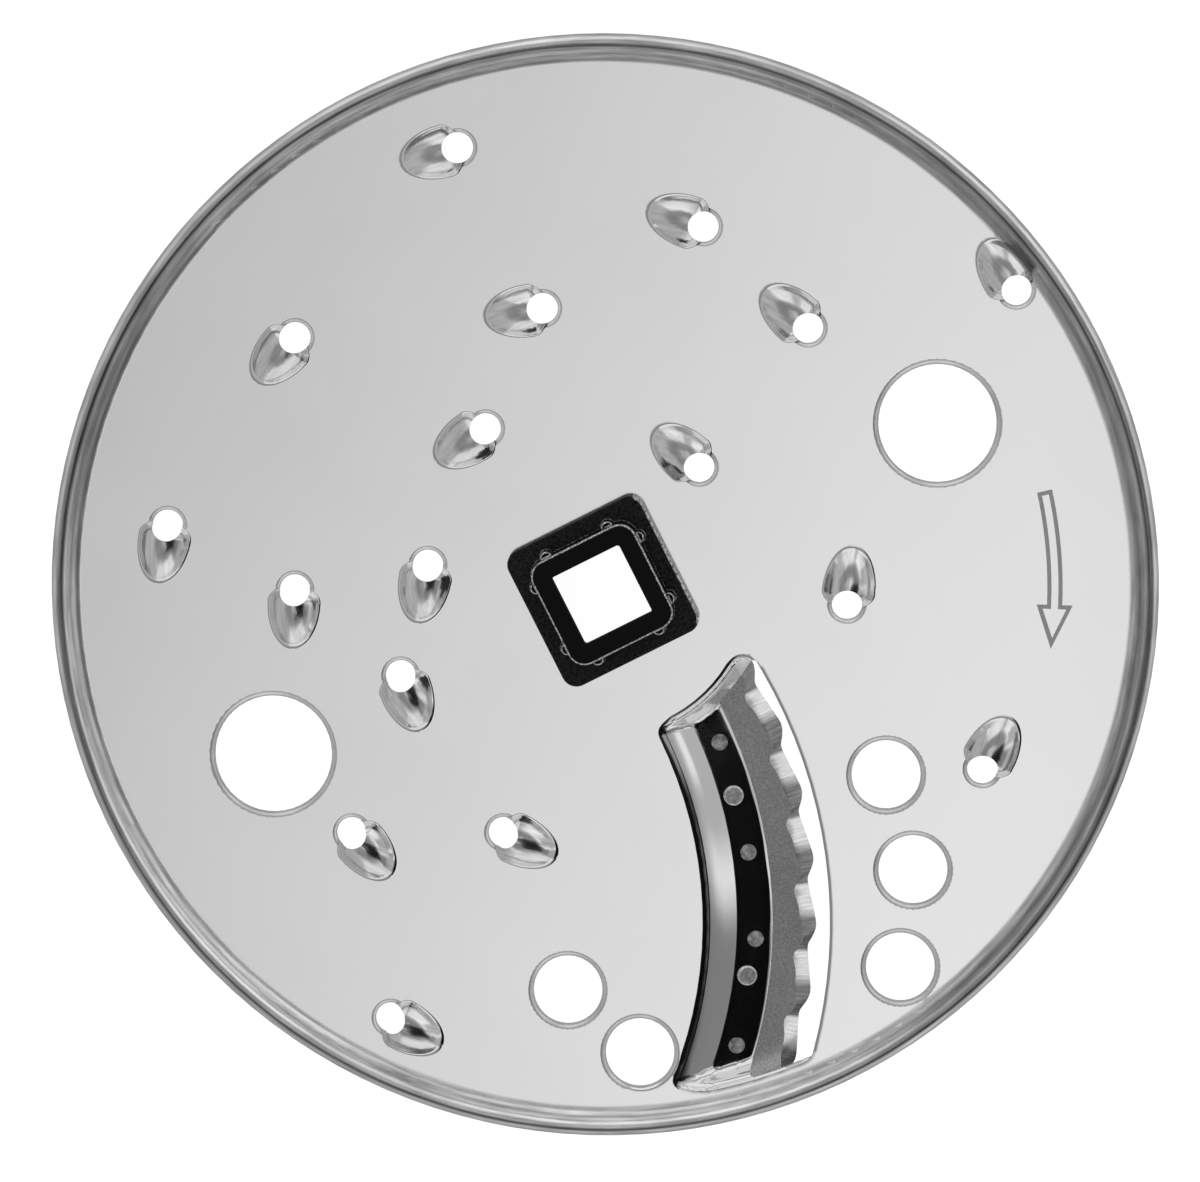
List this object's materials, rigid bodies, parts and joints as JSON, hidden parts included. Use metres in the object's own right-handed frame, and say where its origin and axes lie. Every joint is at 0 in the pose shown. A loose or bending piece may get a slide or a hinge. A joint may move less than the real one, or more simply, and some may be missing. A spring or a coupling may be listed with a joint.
{
  "type": "food processor disc",
  "caption": "Thin round steel disc with a rolled rim that shreds with punched teeth on one face and slices with a wavy blade in a pressed pocket, on a black square hub.",
  "frame": {"origin": "on the hub's axis, in the plane of the upper face of the steel sheet", "axes": "+Z out of the shredding side along the drive axis, X through the two finger holes, with the slicing pocket on the -Y side of the hub"},
  "size_m": [0.16, 0.16, 0.0156],
  "materials": {
    "sheet_steel": "thin bright stainless sheet, almost a mirror, with faint smears",
    "blade_steel": "ground matte on the flat, bright fine grinding lines on the bevel",
    "rivet_steel": "satin with a bright edge",
    "hub_plastic": "black, finely grained on the collar, smooth on the sleeve's end"
  },
  "bodies": {
    "root": {"disc_plate": "sheet_steel", "slicing_blade": "blade_steel", "blade_rivets": "rivet_steel", "hub_sleeve": "hub_plastic", "hub_collar": "hub_plastic"}
  },
  "joints": []
}
